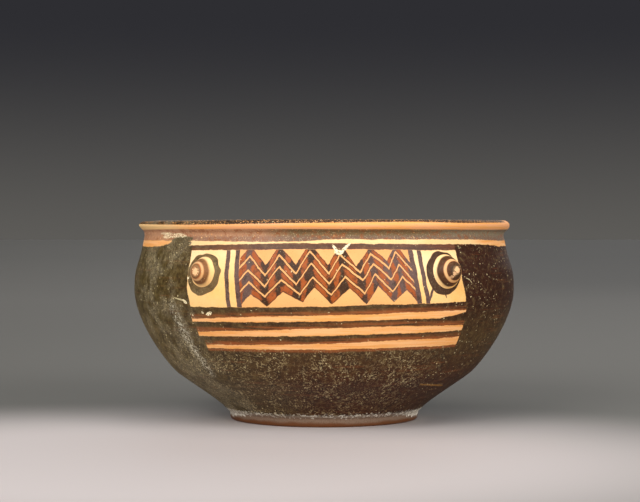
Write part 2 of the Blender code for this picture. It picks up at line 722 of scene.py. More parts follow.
@dataclass(frozen=True)
class HandWork:
    """How the potter's hand and time made the turned clay uneven, in metres.

    A pair is where a change starts and where it is full.
    """

    rim_drop: float = 0.00030
    unevenness: float = 0.00016
    unevenness_scale: float = 22.0
    wheel_marks: float = 0.00005
    wheel_mark_scale: float = 900.0
    rim_wobble: float = 0.00010
    rim_wobble_scale: float = 28.0
    lip_wedge: float = 0.00090
    wedge_left: tuple[float, float] = (-0.045, -0.071)
    wedge_upper: tuple[float, float] = (0.0770, 0.0749)
    wedge_lower: tuple[float, float] = (0.0731, 0.0744)
    crust: float = 0.00025
    crust_scale: float = 900.0
    crust_low: float = 0.0032
    crust_high: float = 0.0052
    crust_lumps: tuple[float, float] = (0.36, 0.64)


class Bowl:
    """The turned clay bowl with its four knobs, as one mesh."""

    # Each knob's profile from its axis out: share of the base radius, and share of the reach
    KNOB_PROFILE = (
        (0.0, 1.0), (0.22, 0.985), (0.36, 0.955), (0.43, 0.91), (0.465, 0.85), (0.49, 0.80), (0.56, 0.755),
        (0.625, 0.69), (0.74, 0.50), (0.84, 0.29), (0.92, 0.11), (0.97, -0.02), (1.05, -0.24), (1.3, -0.8),
        (1.6, -1.4),
    )
    KNOB_FILLET = 0.0005
    KNOB_ZONE = 1.6
    KNOB_FADE = 0.3
    FINE_HALF_TURN = 6.4
    FINE_TURN = 0.28
    COARSE_TURN = 1.7
    WELD = 0.000002
    BACK_TURN = 180.0

    def __init__(self, form: TurnedForm, knobs: Sequence[Knob], work: HandWork) -> None:
        """Keeps the sizes.

        Args:
            form: The turned body.
            knobs: The two knobs of a face.
            work: The clay's unevenness.
        """
        self.form = form
        self.knobs = knobs
        self.work = work

    def turns(self) -> list[float]:
        """The azimuths of the turned columns in degrees, finer over the knobs, round to the first again.

        Returns:
            Azimuths in rising order.
        """
        middles = sorted(
            (knob.azimuth + face) % 360.0 for knob in self.knobs for face in (0.0, self.BACK_TURN)
        )
        start = middles[0] - self.FINE_HALF_TURN
        angles = [start]
        for index, middle in enumerate(middles):
            after = middles[index + 1] if index + 1 < len(middles) else middles[0] + 360.0
            stops = (
                (middle + self.FINE_HALF_TURN, self.FINE_TURN),
                (after - self.FINE_HALF_TURN, self.COARSE_TURN),
            )
            for stop, step in stops:
                count = math.ceil((stop - angles[-1]) / step)
                first = angles[-1]
                angles += [first + (stop - first) * turn / count for turn in range(1, count + 1)]
        return angles

    @staticmethod
    def helper(name: str, places: Sequence[Sequence[float]]) -> bpy.types.Object:
        """A mesh of loose points that the tree reads.

        Args:
            name: What it is called.
            places: Where its points are.

        Returns:
            The mesh as an object.
        """
        mesh = bpy.data.meshes.new(name)
        mesh.from_pydata([tuple(place) for place in places], [], [])
        return added(name, mesh)

    def profile_points(self) -> bpy.types.Object:
        """The profile as points at radius x and height z, with each one's surface.

        Returns:
            The mesh of points as an object.
        """
        rows = self.form.profile()
        points = self.helper("bowl_profile", [(point.x, 0.0, point.y) for point, _ in rows])
        surface = points.data.attributes.new("surface", "FLOAT", "POINT")
        surface.data.foreach_set("value", [face.value for _, face in rows])
        return points

    def turn_points(self) -> bpy.types.Object:
        """The columns as points on a unit circle. Azimuth 0 faces -Y."""
        angles = [math.radians(angle) for angle in self.turns()]
        return self.helper("bowl_turns", [(math.sin(angle), -math.cos(angle), 0.0) for angle in angles])

    def knob_points(self) -> bpy.types.Object:
        """The middle of each knob's base, with the knob's axis, base radius and reach.

        Returns:
            The mesh of points as an object.
        """
        placed = [(knob, knob.azimuth + face) for face in (0.0, self.BACK_TURN) for knob in self.knobs]
        points = self.helper("bowl_knobs", [knob.centre(self.form, azimuth) for knob, azimuth in placed])
        axis = points.data.attributes.new("axis", "FLOAT_VECTOR", "POINT")
        for record, (knob, azimuth) in zip(axis.data, placed):
            record.vector = knob.axis(azimuth)
        for name in ("base_radius", "reach"):
            attribute = points.data.attributes.new(name, "FLOAT", "POINT")
            attribute.data.foreach_set("value", [getattr(knob, name) for knob, _ in placed])
        return points

    def build(self, material: bpy.types.Material) -> bpy.types.Object:
        """Turns the bowl and makes it a plain mesh.

        Args:
            material: The finish for all of it.

        Returns:
            The finished object, at the origin.
        """
        profile = self.profile_points()
        turns = self.turn_points()
        knobs = self.knob_points()
        work = self.work
        inputs = {
            "Turns": ("Object", turns),
            "Knobs": ("Object", knobs),
            "Rows": ("Int", len(profile.data.vertices)),
            "Columns": ("Int", len(turns.data.vertices)),
            "Bowl Height": ("Float", self.form.height),
            "Knob Fillet": ("Float", self.KNOB_FILLET),
            "Rim Drop": ("Float", work.rim_drop),
            "Rim Wobble": ("Float", work.rim_wobble),
            "Unevenness": ("Float", work.unevenness),
            "Wheel Marks": ("Float", work.wheel_marks),
            "Lip Wedge": ("Float", work.lip_wedge),
            "Crust": ("Float", work.crust),
            "Finish": ("Material", material),
        }
        tree = bpy.data.node_groups.new("turned_bowl", "GeometryNodeTree")
        tree.interface.new_socket(name="Geometry", in_out="INPUT", socket_type="NodeSocketGeometry")
        identifiers = {}
        for name, (kind, _) in inputs.items():
            made = tree.interface.new_socket(name=name, in_out="INPUT", socket_type="NodeSocket" + kind)
            identifiers[name] = made.identifier
        tree.interface.new_socket(name="Geometry", in_out="OUTPUT", socket_type="NodeSocketGeometry")
        self.write_tree(MeshSheet(tree))
        modifier = profile.modifiers.new("turned_bowl", "NODES")
        modifier.node_group = tree
        for name, (_, value) in inputs.items():
            modifier[identifiers[name]] = value
        bpy.context.view_layer.update()
        graph = bpy.context.evaluated_depsgraph_get()
        mesh = bpy.data.meshes.new_from_object(profile.evaluated_get(graph), depsgraph=graph)
        bowl = added("painted_bowl", mesh)
        for old in (profile, turns, knobs):
            bpy.data.objects.remove(old, do_unlink=True)
        return bowl

    def write_tree(self, sheet: MeshSheet) -> None:
        """Writes the tree that turns the profile, raises the knobs and roughens the clay.

        Args:
            sheet: The empty tree.
        """
        rows = sheet.given("Rows")
        grid = sheet.apply("GeometryNodeMeshGrid", "Mesh", Vertices_X=sheet.given("Columns"), Vertices_Y=rows)
        column = sheet.math("FLOOR", (sheet.apply("GeometryNodeInputIndex") + 0.5) / rows)
        row = sheet.apply("GeometryNodeInputIndex") - column * rows
        profile = sheet.given("Geometry")
        place = sheet.position()
        spot = sheet.sampled(profile, place, row, "FLOAT_VECTOR")
        turned = sheet.sampled(sheet.points_of("Turns"), place, column, "FLOAT_VECTOR")
        face = sheet.sampled(profile, sheet.named("surface"), row)
        radius, _, height = sheet.split(spot)
        mesh = sheet.stored(sheet.stored(grid, "surface", face), "level", height * MM)
        ring_x, ring_y, _ = sheet.split(turned)
        mesh = sheet.moved(mesh, Position=sheet.joined(radius * ring_x, radius * ring_y, height))
        mesh = self.work_by_hand(sheet, self.raise_knobs(sheet, mesh))
        mesh = sheet.apply("GeometryNodeMergeByDistance", Geometry=mesh, Distance=self.WELD)
        mesh = sheet.apply("GeometryNodeFlipFaces", Mesh=mesh)
        mesh = sheet.apply("GeometryNodeSetShadeSmooth", Geometry=mesh)
        mesh = sheet.apply("GeometryNodeRealizeInstances", Geometry=mesh)
        mesh = sheet.apply("GeometryNodeSetMaterial", Geometry=mesh, Material=sheet.given("Finish"))
        sheet.feed(sheet.node("NodeGroupOutput").inputs[0], mesh)

    def raise_knobs(self, sheet: MeshSheet, mesh: Signal) -> Signal:
        """Presses the knobs on: near each one, the wall's points rise along its axis to its profile.

        Args:
            sheet: The tree.
            mesh: The turned body.

        Returns:
            The body with its knobs.
        """
        points = sheet.points_of("Knobs")
        place = sheet.position()
        nearest = sheet.node("GeometryNodeSampleNearest", domain="POINT")
        knob = sheet.apply(nearest, Geometry=points, Sample_Position=place)
        centre = sheet.sampled(points, place, knob, "FLOAT_VECTOR")
        axis = sheet.sampled(points, sheet.named("axis", "FLOAT_VECTOR"), knob, "FLOAT_VECTOR")
        base, reach = (sheet.sampled(points, sheet.named(name), knob) for name in ("base_radius", "reach"))
        from_centre = sheet.vector("SUBTRACT", place, centre)
        along = sheet.dot(from_centre, axis)
        away = sheet.length(sheet.vector("SUBTRACT", from_centre, sheet.scaled(axis, along))) / base
        clay = sheet.drawn(self.KNOB_PROFILE, away) * reach
        risen = sheet.math("SMOOTH_MAX", along, clay, sheet.given("Knob Fillet"))
        lift = (risen - along) * away.rise(self.KNOB_ZONE, self.KNOB_ZONE - self.KNOB_FADE) * sheet.outside()
        return sheet.moved(mesh, Offset=sheet.scaled(axis, lift))

    def work_by_hand(self, sheet: MeshSheet, mesh: Signal) -> Signal:
        """Lowers the rim, makes the wall uneven, sharpens the lip's left end and grows the foot's crust.

        Args:
            sheet: The tree.
            mesh: The even body with knobs.

        Returns:
            The uneven body.
        """
        work = self.work
        place = sheet.position()
        x, y, height = sheet.split(place)
        outside = sheet.outside()
        lump = sheet.noise(place, work.crust_scale, 3.0).rise(*work.crust_lumps)
        soft = (work.crust_high - work.crust_low) / 4
        crust = lump * height.between(work.crust_low, work.crust_high, soft) * outside
        crusted = sheet.stored(mesh, "crust", crust)
        uneven = sheet.noise(place, work.unevenness_scale, 1.0)
        rings = sheet.noise(sheet.joined(0.0, 0.0, height), work.wheel_mark_scale, 2.0)
        inwards = (uneven * sheet.given("Unevenness") + rings * sheet.given("Wheel Marks")) * outside
        wedge = x.rise(*work.wedge_left) * height.rise(*work.wedge_upper) * height.rise(*work.wedge_lower)
        inwards = inwards + wedge * outside * sheet.given("Lip Wedge")
        out = crust * sheet.given("Crust") - inwards
        radius = sheet.span(x, y).most(self.form.wall)
        share = sheet.math("POWER", height / sheet.given("Bowl Height"), 2.0)
        lean = x.rise(0.0, -self.form.lip_radius) * sheet.given("Rim Drop")
        wobble = sheet.noise(sheet.joined(x, y, 0.0), work.rim_wobble_scale, 1.0)
        drop = (lean + wobble * sheet.given("Rim Wobble")) * share
        return sheet.moved(crusted, Offset=sheet.joined(x * out / radius, y * out / radius, drop * -1.0))


@dataclass(frozen=True)
class PanelPainting:
    """The painted panel, as the pixels of the photograph where its lines run. Widths are millimetres."""

    field_left: tuple[Pixel, ...] = ((191.5, 250), (188, 272), (187, 287), (190.5, 307))
    field_right: tuple[Pixel, ...] = ((455.4, 250), (459.5, 265), (462.3, 280), (466.2, 302))
    field_top: tuple[Pixel, ...] = ((187, 250.3), (325, 249.2), (460, 250.2))
    field_bottom: tuple[Pixel, ...] = ((187, 306.8), (330, 306.6), (372, 304.7), (415, 304.2), (467, 301.4))
    upright_lines: tuple[tuple[float, tuple[Pixel, ...]], ...] = (
        (1.75, ((228.6, 249), (226.3, 273), (229, 307.5))),
        (1.80, ((237.6, 249), (236.4, 273), (239.6, 307.5))),
        (1.90, ((410, 249), (416.2, 280), (420.4, 306))),
        (1.75, ((418.2, 249), (424.2, 280), (428.8, 306))),
    )
    zigzag_span: tuple[Pixel, Pixel] = ((238, 278), (417.5, 278))
    zigzag_top: tuple[Pixel, ...] = (
        (233, 266), (250.6, 245.5), (265.6, 265), (279.5, 246), (296, 264.5), (309.6, 242.5),
        (328, 265), (340.6, 243.5), (356.4, 266.4), (370.4, 246.5), (387, 261), (395.6, 243.5),
        (409.5, 261.4), (420, 272),
    )
    zigzag_bottom: tuple[Pixel, ...] = (
        (233, 309), (239, 306.5), (250.6, 294.5), (266.7, 306.5), (283, 292), (302.6, 302.6),
        (314.4, 287.2), (331.7, 304.5), (349.5, 288), (366.7, 304.5), (378.6, 286), (394.2, 302),
        (406.8, 289.9), (422, 306),
    )
    reserved_lines: tuple[tuple[float, tuple[Pixel, ...]], ...] = (
        (0.50, (
            (233, 274), (249.9, 256), (264.8, 275.6), (279.2, 255.3), (295.7, 273.3), (309.9, 251.1),
            (329, 273.7), (340, 254.2), (360.2, 272.5), (370.6, 253.8), (389, 268.5), (395.3, 251.9),
            (414, 272), (420, 278),
        )),
        (0.48, (
            (233, 287), (248, 270), (264.5, 286.5), (279, 266.8), (296, 284.5), (311, 263.3),
            (329, 284), (342.2, 264.5), (362.9, 280.3), (373.6, 264.1), (391.5, 279.5), (398.8, 264.5),
            (415.5, 283), (421, 288),
        )),
        (0.46, (
            (233, 299), (249, 281.9), (264.5, 297), (281.3, 279.6), (299.5, 294.5), (312.9, 277.3),
            (331, 295), (345.3, 276.5), (365, 293.5), (375.2, 274.2), (393.5, 292), (402.6, 276.5),
            (417.5, 291.5), (422, 296),
        )),
    )


class Stage:
    """The pale floor with painted light and shade on it, the even dim surroundings and the soft lights."""

    FLOOR_HALF = 20.0
    # A painted pool of light on the floor before the bowl, brightest round the foot
    PAINTED_LIGHT_POOL_CENTRE = (-50.0, -130.0, 0.0)
    PAINTED_LIGHT_POOL_SHAPE = (0.75, 1.0, 0.0)
    PAINTED_LIGHT_POOL_INNER = 70.0
    PAINTED_LIGHT_POOL_OUTER = 200.0
    PAINTED_LIGHT_CORE_INNER = 45.0
    PAINTED_LIGHT_CORE_OUTER = 80.0
    PALE = tone(181, 172, 169)
    PAINTED_LIGHT_NEAR_FOOT = tone(197, 187, 184)
    DARK_GREY = tone(88, 86, 80)
    LIGHT_GREY = tone(110, 107, 101)
    # Share of the light grey by distance from the pool: painted falloff of the light across the floor
    PAINTED_FALLOFF_SHARE = (
        (200.0, 0.0), (440.0, 0.38), (1350.0, 0.95), (2700.0, 0.70), (4800.0, 0.38), (12000.0, 0.11),
        (20000.0, 0.05),
    )
    # Painted shade on the far floor at the right: where it starts by slant and reach, how dark it gets, and
    # its tone
    RIGHT_SLANT = (0.03, 0.13)
    RIGHT_REACH = (550.0, 2300.0)
    RIGHT_SHADE = 0.38
    PAINTED_SHADE_TONE = tone(0, 0, 0)
    SKY_LOW = tone(98, 96, 92)
    SKY_HIGH = tone(46, 46, 50)
    SKY_SINES = (-0.04, 0.125)
    FLOOR_ROUGHNESS = 0.75
    AIM = Vector((0.0, 0.0, 0.04))
    SOFT_LIGHTS = (("key_light", (-0.60, -0.95, 0.60), 14.5), ("fill_light", (0.80, -0.80, 0.45), 11.5))
    SOFT_LIGHT_SIZE = 0.70
    SUNS = (("back_light", (0.25, 0.90, 0.60), 0.7), ("even_light", (0.0, -0.35, 1.0), 1.5))
    SUN_SPREAD = math.radians(60.0)

    def build(self) -> bpy.types.Object:
        """Makes the floor, the surroundings and the lights, and gives the floor.

        Returns:
            The floor.
        """
        floor = self.floor()
        self.surroundings()
        for name, place, power in self.SOFT_LIGHTS:
            light = self.light(name, "AREA", power, Vector(place) - self.AIM)
            light.data.size = self.SOFT_LIGHT_SIZE
            light.location = place
        for name, towards, power in self.SUNS:
            self.light(name, "SUN", power, Vector(towards)).data.angle = self.SUN_SPREAD
        return floor

    def floor(self) -> bpy.types.Object:
        """The floor: pale under and before the bowl as a painted pool of light, greyer further off, most of
        all at the right as painted shade.

        Returns:
            The floor as an object.
        """
        half = self.FLOOR_HALF
        mesh = bpy.data.meshes.new("floor")
        corners = [(-half, -half, 0.0), (half, -half, 0.0), (half, half, 0.0), (-half, half, 0.0)]
        mesh.from_pydata(corners, [], [(0, 1, 2, 3)])
        material = bpy.data.materials.new("pale_floor")
        material.use_nodes = True
        sheet = NodeSheet(material.node_tree)
        shader = material.node_tree.nodes["Principled BSDF"]
        place = sheet.scaled(sheet.apply("ShaderNodeTexCoord", "Object"), MM)
        from_light_pool = sheet.vector("SUBTRACT", place, self.PAINTED_LIGHT_POOL_CENTRE)
        away = sheet.length(sheet.vector("MULTIPLY", from_light_pool, self.PAINTED_LIGHT_POOL_SHAPE))
        # Painted light: the floor is lifted round the foot, against the bowl's own shade
        painted_light_share = sheet.length(place).rise(self.PAINTED_LIGHT_CORE_OUTER, self.PAINTED_LIGHT_CORE_INNER)
        pale = sheet.mix(self.PALE, self.PAINTED_LIGHT_NEAR_FOOT, painted_light_share)
        # Painted falloff: the grey lightens and then dims again with distance
        grey = sheet.mix(self.DARK_GREY, self.LIGHT_GREY, sheet.drawn(self.PAINTED_FALLOFF_SHARE, away))
        # Painted shade: far off at the right the grey darkens
        painted_shade_right = (sheet.split(place)[0] / away).rise(*self.RIGHT_SLANT) * away.rise(*self.RIGHT_REACH)
        grey = sheet.mix(grey, self.PAINTED_SHADE_TONE, painted_shade_right * self.RIGHT_SHADE)
        # Pale within the painted pool of light, grey beyond it
        colour = sheet.mix(pale, grey, away.rise(self.PAINTED_LIGHT_POOL_INNER, self.PAINTED_LIGHT_POOL_OUTER))
        sheet.feed(shader.inputs["Base Color"], colour)
        shader.inputs["Roughness"].default_value = self.FLOOR_ROUGHNESS
        mesh.materials.append(material)
        return added("floor", mesh)

    def surroundings(self) -> None:
        """Dim grey all round, lighter at the horizon."""
        world = bpy.data.worlds.new("studio")
        world.use_nodes = True
        bpy.context.scene.world = world
        sheet = NodeSheet(world.node_tree)
        up = sheet.split(sheet.apply("ShaderNodeTexCoord", "Generated"))[2]
        background = world.node_tree.nodes["Background"]
        colour = sheet.mix(self.SKY_LOW, self.SKY_HIGH, up.rise(*self.SKY_SINES))
        sheet.feed(background.inputs["Color"], colour)

    @staticmethod
    def light(name: str, kind: str, power: float, towards: Vector) -> bpy.types.Object:
        """A light of a kind that shines from a direction.

        Args:
            name: What it is called.
            kind: AREA or SUN.
            power: Watts, or a sun's strength.
            towards: From what it lights to the light.

        Returns:
            The light as an object.
        """
        data = bpy.data.lights.new(name, kind)
        data.energy = power
        light = added(name, data)
        light.rotation_euler = towards.to_track_quat("Z", "Y").to_euler()
        return light


@dataclass(frozen=True)
class Band:
    """A band left bare in the slip below the panel, by the pixels of its two edges."""

    upper: tuple[Pixel, ...]
    lower: tuple[Pixel, ...]


@dataclass(frozen=True)
class Scar:
    """A chip, scratch or stroke on the front, by the pixels of its two ends and its width in millimetres."""

    start: Pixel
    end: Pixel
    width: float


@dataclass(frozen=True)
class SlipTones:
    """The tones of the clay, of the slip and of what lies on them."""

    panel_clay: Colour = tone(246, 210, 156)
    panel_clay_warm: Colour = tone(244, 182, 98)
    zigzag_clay: Colour = tone(230, 158, 95)
    zigzag_clay_low: Colour = tone(229, 163, 100)
    band_clay: Colour = tone(234, 160, 86)
    lip_clay: Colour = tone(242, 182, 122)
    # Painted highlight on the lip's left end, where the light falls
    lip_painted_highlight: Colour = tone(255, 212, 146)
    rosy_clay: Colour = tone(222, 146, 102)
    slip_left: Colour = tone(74, 60, 28)
    slip_middle: Colour = tone(72, 50, 24)
    slip_right: Colour = tone(50, 20, 8)
    slip_low: Colour = tone(62, 26, 2)
    slip_dark: Colour = tone(40, 24, 8)
    # Pale slip: mottled spots, and painted light low on the left
    slip_pale: Colour = tone(122, 102, 62)
    neck_olive: Colour = tone(112, 90, 60)
    neck_rosy: Colour = tone(184, 134, 100)
    neck_grey: Colour = tone(128, 113, 90)
    neck_shade: Colour = tone(112, 84, 72)
    thin_brown: Colour = tone(142, 78, 36)
    thin_orange: Colour = tone(154, 74, 24)
    stroke_dark: Colour = tone(66, 40, 20)
    stroke_olive: Colour = tone(104, 82, 50)
    stroke_brown: Colour = tone(56, 28, 6)
    stroke_violet: Colour = tone(98, 72, 66)
    rim_dark: Colour = tone(44, 24, 10)
    gold: Colour = tone(168, 118, 48)
    chip: Colour = tone(248, 230, 186)
    tip: Colour = tone(240, 186, 134)
    fleck: Colour = tone(220, 202, 154)
    hair: Colour = tone(170, 152, 112)
    lime: Colour = tone(232, 226, 202)
    crust: Colour = tone(232, 224, 206)
    foot: Colour = tone(122, 98, 80)
    foot_low: Colour = tone(98, 56, 28)
    underside: Colour = tone(196, 138, 92)
    # Greyish film on the slip at the left: partly real dusting, partly painted sheen
    dust_and_sheen: Colour = tone(146, 134, 108)


@dataclass(frozen=True)
class KnobStrokes:
    """The slip round one knob: rings and washes, partly painted shade, by share of the base radius, the ring
    on the wall and chips.

    A chip is its middle to the right and up, its radius and its strength. Lengths are millimetres.
    """

    outer_radius: float
    shift: tuple[float, float]
    rings_shift: tuple[float, float]
    chips: tuple[tuple[float, float, float, float], ...]
    raggedness: float
    rings: tuple[tuple[float, float], ...]
    # Thin slip by share of the base radius; on the orange ring it also darkens it as painted shade
    wash_and_shade: tuple[tuple[float, float], ...]


KNOB_STROKES = (
    KnobStrokes(
        outer_radius=7.7,
        shift=(-0.3, -0.9),
        rings_shift=(-0.30, -0.1),
        chips=((0.1, -0.3, 1.35, 1.0),),
        raggedness=2.6,
        rings=(
            (0.0, 0.90), (0.34, 0.90), (0.42, 1.0), (0.46, 1.0), (0.52, 0.50), (0.58, 0.45), (0.66, 1.0),
            (0.80, 1.0), (0.88, 0.10), (1.0, 0.0), (1.05, 0.0),
        ),
        wash_and_shade=(
            (0.0, 0.6), (0.30, 0.5), (0.40, 0.1), (0.49, 1.0), (0.60, 1.0), (0.66, 0.35), (0.80, 0.35),
            (1.05, 0.0),
        ),
    ),
    KnobStrokes(
        outer_radius=7.9,
        shift=(-1.2, -0.35),
        rings_shift=(0.1, 0.1),
        chips=((0.5, 0.35, 1.15, 1.0), (-0.9, -1.2, 0.7, 0.7), (-1.6, -2.2, 0.55, 0.6)),
        raggedness=1.6,
        rings=(
            (0.0, 0.85), (0.24, 0.85), (0.30, 1.0), (0.54, 1.0), (0.58, 0.45), (0.66, 0.40), (0.70, 1.0),
            (0.87, 1.0), (0.91, 0.0), (1.0, 0.0), (1.05, 0.0),
        ),
        wash_and_shade=((0.0, 0.2), (0.26, 0.0), (0.53, 0.1), (0.58, 1.0), (0.66, 1.0), (0.71, 0.1), (1.05, 0.0)),
    ),
)


class PaintedClay:
    """The bowl's finish: bare clay, dark slip brushed over it round the panel, bands and knobs, and wear."""

    MM_PER_DEGREE = 1.30
    EDGE = 0.13
    SCAR_EDGE = 0.12
    SCAR_TAPER = 1.3
    LIMB_LEAN = 0.62
    CORNER_SLANT = 0.0096
    GLOSS = 0.20
    DULL = 0.62
    CRUST_ROUGHNESS = 0.9
    # The brush wavers: scale and detail of each waver, and how far it goes up in mm and round in degrees
    WAVERS = ((0.26, 2.0, 0.85, 0.65), (1.1, 1.5, 0.35, 0.25))
    # Millimetres over a band's upper edge where its thin slip starts and is full
    BRUSHED_OVER = (2.3, 0.5)
    # How ragged the grain makes the lip's dark edge and the chips in millimetres, and the overlap by share
    LIP_GRAIN = 1.3
    CHIP_GRAIN = 3.0
    OVERLAP_GRAIN = 1.4
    # Half the width of the lime streak's soft edge, in millimetres
    LIME_SOFT = 3.6
    # Hair lines: cells per millimetre, shift, and weight where they are thicker
    CURLED_HAIRS = (0.55, 0.0)
    SHORT_HAIRS = (0.95, 40.0)
    LIME_STROKES = (0.75, 15.0, 1.9)
    # Brush streaks and turning lines: cells per millimetre aside, back and up
    STREAK_CELLS = (0.05, 0.05, 1.15)
    TURNING_CELLS = (0.04, 0.04, 1.0)
    # Bump: its strength and its depth in metres
    BUMP = (0.35, 0.00012)
    # Noises: cells per millimetre and detail, and some with roughness
    CRUMPLE = (1.8, 1.0)
    LIMB_PATCHES = (0.22, 2.0)
    RING_WOBBLE = (0.22, 0.5)
    BLOTCH = (0.07, 3.0, 0.6)
    GRAIN = (2.2, 3.0, 0.65)
    MOTTLE = (0.45, 4.0, 0.7)
    CLUMPS = (0.12, 3.0, 0.6)
    SPECKLE = (0.95, 2.0, 0.7)
    FINE = (1.6, 4.0, 0.65)
    # Azimuths where a tone begins and is full, in degrees to the right of the middle
    MIDDLE_SLIP = (-60.0, -15.0)
    LOW_SLIP = (-25.0, 0.0)
    RIGHT_SLIP = (10.0, 45.0)
    # Painted light on the slip low on the left, with the heights in LIT_LOW
    LIT_SLIP = (-48.0, -72.0)
    DARK_STROKES = (-29.0, -24.0)
    VIOLET_RIGHT = (8.0, 17.0)
    VIOLET_LEFT = (-17.0, -22.0)
    NECK_OLIVE = (-35.0, 0.0)
    NECK_GREY = (25.0, 45.0)
    NECK_SHADE = (-58.0, -46.0)
    NECK_SPECKS = (30.0, -50.0)
    CREAM_SHOULDER = (60.0, 48.0)
    # Painted light on the lip's left end: where its cream and its highlight tone come in
    LIP_PAINTED_LIGHT = (-30.0, -75.0)
    LIP_PAINTED_HIGHLIGHT = (-40.0, -62.0)
    RIM_END = (71.0, 76.0)
    LEFT_WEAR = (-32.0, -48.0)
    # A greyish film at the far left: partly real dusting, partly painted sheen
    LEFT_HAZE_AND_SHEEN = (-82.0, -62.0)
    RIGHT_WEAR = (30.0, 50.0)
    FOOT_ENDS = (40.0, 75.0)
    # Heights where a tone begins and is full, in millimetres
    PANEL_WARM = (64.0, 50.0)
    ZIGZAG_WARM = (50.0, 66.0)
    LOW_BROWN = (34.0, 16.0)
    RIGHT_RED = (34.0, 50.0)
    LIT_LOW = (50.0, 34.0)
    NECK_SHADE_LEVELS = (72.9, 71.6)
    LOW_HAIRS = (34.0, 27.5)
    LIME_HEIGHTS = (56.0, 42.0)
    FOOT_LOW = (2.2, 0.9)
    # The shoulder line's lower and upper end and soft edge, in millimetres
    SHOULDER = (67.5, 72.0, 0.3)
    # Distances from the axis over which sides come to count, in millimetres
    AXIS_FADE = (6.0, 52.0)
    # Values of a noise within which one tone gives way to the next
    MIDDLING = (0.35, 0.65)
    DARK_SPOTS = (0.52, 0.36)
    STROKE_SPOTS = (0.50, 0.36)
    PALE_SPOTS = (0.52, 0.68)
    LIP_DARK_FROM = (
        (-90.0, 77.1), (-75.0, 76.95), (-45.0, 76.5), (-20.0, 76.6), (0.0, 76.9), (25.0, 77.3), (45.0, 76.9),
        (72.0, 77.3), (90.0, 77.5),
    )
    LIP_UNDER = ((-90.0, 74.8), (-45.0, 74.9), (0.0, 74.65), (60.0, 74.5), (90.0, 74.8))
    SIDE = 90.0

    SHOULDER_UPPER: tuple[Pixel, ...] = (
        (150, 240.2), (190, 240.8), (265, 241.8), (300, 241.5), (320, 240), (345, 239.3),
        (400, 239.5), (480, 239.5), (498, 240.6),
    )
    SHOULDER_LOWER: tuple[Pixel, ...] = (
        (150, 246.8), (190, 245.5), (265, 243.6), (300, 243), (330, 243.4), (370, 243.8),
        (400, 244), (480, 244.2), (498, 246.2),
    )
    BANDS = (
        Band(
            ((191.5, 318.6), (250, 316.7), (330, 315.3), (390, 313.5), (440, 311), (466.5, 310)),
            ((191.5, 321.4), (330, 321.5), (380, 320), (440, 318.2), (466.5, 312)),
        ),
        Band(
            ((197.5, 331.5), (330, 328), (400, 326), (463.5, 325)),
            ((197.5, 335.9), (330, 335.6), (400, 333.3), (440, 332), (463.5, 329.6)),
        ),
        Band(
            ((206, 344.5), (330, 343.8), (400, 340), (440, 338.5), (459.5, 336.5)),
            ((206, 347.8), (330, 349.8), (400, 347.4), (440, 346), (459.5, 343.6)),
        ),
    )
    PALE_CHIPS = (
        Scar((332.6, 245.2), (338, 252.4), 1.15),
        Scar((350.2, 243.6), (340, 252.6), 1.20),
        Scar((335, 252.2), (343, 252.6), 1.70),
        Scar((182.5, 300), (186.5, 303), 1.1),
        Scar((187.5, 279), (188.5, 277), 0.9),
        Scar((206, 314.5), (211.5, 312.5), 1.3),
        Scar((201.5, 312), (203, 313.5), 0.8),
        Scar((192, 315), (193, 314.5), 0.8),
    )
    WORN_PATCH = (
        Scar((163, 237), (184, 234.4), 1.7),
        Scar((174, 235.6), (186, 236), 1.5),
        Scar((161, 234), (172, 233.2), 0.9),
    )
    HAIR_SCRATCHES = (
        Scar((466.5, 278), (470.5, 280), 0.35),
        Scar((470.5, 280), (472.5, 283.5), 0.35),
        Scar((174, 297.5), (186, 301.5), 0.6),
    )
    GOLD_SCRATCH = (Scar((420, 384.4), (443, 385.5), 0.7),)
    EXTRA_STROKES = (
        Scar((429, 302.5), (433.8, 286), 1.1),
        Scar((442.5, 289.5), (447.2, 298), 0.6),
    )
    OVERLAP = (
        Scar((166, 246.5), (190.5, 243), 3.3),
        Scar((159, 247.5), (174, 244.5), 1.4),
        Scar((172, 241), (191.5, 239), 2.9),
    )
    LIME_STREAK = (Scar((172, 305), (210, 372), 2.2),)

    def __init__(self, camera: PhotoCamera, form: TurnedForm, knobs: Sequence[Knob]) -> None:
        """Keeps what the painted lines are placed by.

        Args:
            camera: The photograph's camera.
            form: The turned body.
            knobs: The two knobs of a face, from the left.
        """
        self.camera = camera
        self.form = form
        self.knobs = knobs
        self.tones = SlipTones()
        self.panel = PanelPainting()

    def build(self) -> bpy.types.Material:
        """Makes the material.

        Returns:
            The material.
        """
        material = bpy.data.materials.new("painted_clay")
        material.use_nodes = True
        self.sheet = NodeSheet(material.node_tree)
        self.read_places()
        self.lay_slip()
        self.paint_panel()
        self.tips: Value = 0.0
        for knob, strokes in zip(self.knobs, KNOB_STROKES):
            self.paint_knob(knob, strokes)
        self.wear_slip()
        colour = self.sheet.mix(self.clay_colour(), self.slip_colour(), self.cover)
        colour = self.colour_foot(self.age(self.scar_front(colour)))
        shader = material.node_tree.nodes["Principled BSDF"]
        finish = {"Base Color": colour, "Roughness": self.roughness(), "Normal": self.relief()}
        for name, signal in finish.items():
            self.sheet.feed(shader.inputs[name], signal)
        shader.inputs["Specular IOR Level"].default_value = self.GLOSS
        return material

